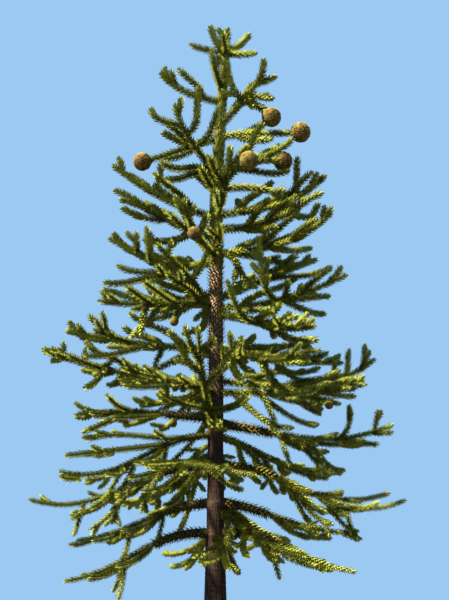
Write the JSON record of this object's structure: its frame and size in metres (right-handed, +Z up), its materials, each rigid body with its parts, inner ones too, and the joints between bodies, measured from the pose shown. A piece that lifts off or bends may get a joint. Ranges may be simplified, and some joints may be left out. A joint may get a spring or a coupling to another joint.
{
  "type": "monkey puzzle tree",
  "caption": "Young monkey puzzle tree with a straight flared trunk, whorled rope-like branches clothed in stiff pointed leaves, and round seed cones.",
  "frame": {"origin": "centre of the flat cut under the trunk, at ground level", "axes": "+Z up along the trunk, +X to the right and +Y away from the viewer of the picture"},
  "size_m": [2.9819, 2.294, 6.44],
  "materials": {
    "trunk_bark": "matte grey-brown bark with rings and diamond leaf scars",
    "bough_bark": "matte brown-green bark rough with the stubs of old leaves",
    "foliage": "satin stiff leaves, yellow-green at the tips and dark green inside"
  },
  "bodies": {
    "root": {"bough_01_left": "bough_bark", "bough_01_right": "bough_bark", "bough_02_left": "bough_bark", "bough_02_right": "bough_bark", "bough_03_left": "bough_bark", "bough_03_right": "bough_bark", "bough_04_left": "bough_bark", "bough_04_right": "bough_bark", "bough_05_left": "bough_bark", "foliage_01_back": "foliage", "foliage_01_front": "foliage", "foliage_01_left": "foliage", "foliage_01_right": "foliage", "foliage_02_back": "foliage", "foliage_02_front_right": "foliage", "foliage_02_left": "foliage", "foliage_02_right": "foliage", "foliage_03_back": "foliage", "foliage_03_front_left": "foliage", "foliage_03_left": "foliage", "foliage_03_right": "foliage", "foliage_04_back": "foliage", "foliage_04_front": "foliage", "foliage_04_left": "foliage", "foliage_04_left_low": "foliage", "foliage_04_right": "foliage", "foliage_04_right_low": "foliage", "foliage_05_back": "foliage", "foliage_05_front_left": "foliage", "foliage_05_left": "foliage", "foliage_05_right": "foliage", "foliage_05_right_high": "foliage", "foliage_06_back": "foliage", "foliage_06_front_right": "foliage", "foliage_06_left": "foliage", "foliage_06_right": "foliage", "foliage_07_back": "foliage", "foliage_07_front_right": "foliage", "foliage_07_left": "foliage", "foliage_07_left_low": "foliage", "foliage_07_right": "foliage", "foliage_07_right_high": "foliage", "foliage_08_back": "foliage", "foliage_08_front": "foliage", "foliage_08_left": "foliage", "foliage_08_right": "foliage", "foliage_09_front": "foliage", "foliage_09_left": "foliage", "foliage_09_right": "foliage", "foliage_09_right_low": "foliage", "foliage_10_back": "foliage", "foliage_10_left": "foliage", "foliage_10_left_low": "foliage", "foliage_10_right": "foliage", "foliage_11_right": "foliage", "foliage_11_right_high": "foliage", "foliage_12_front": "foliage", "foliage_12_left": "foliage", "foliage_leader": "foliage", "trunk": "trunk_bark"}
  },
  "joints": []
}
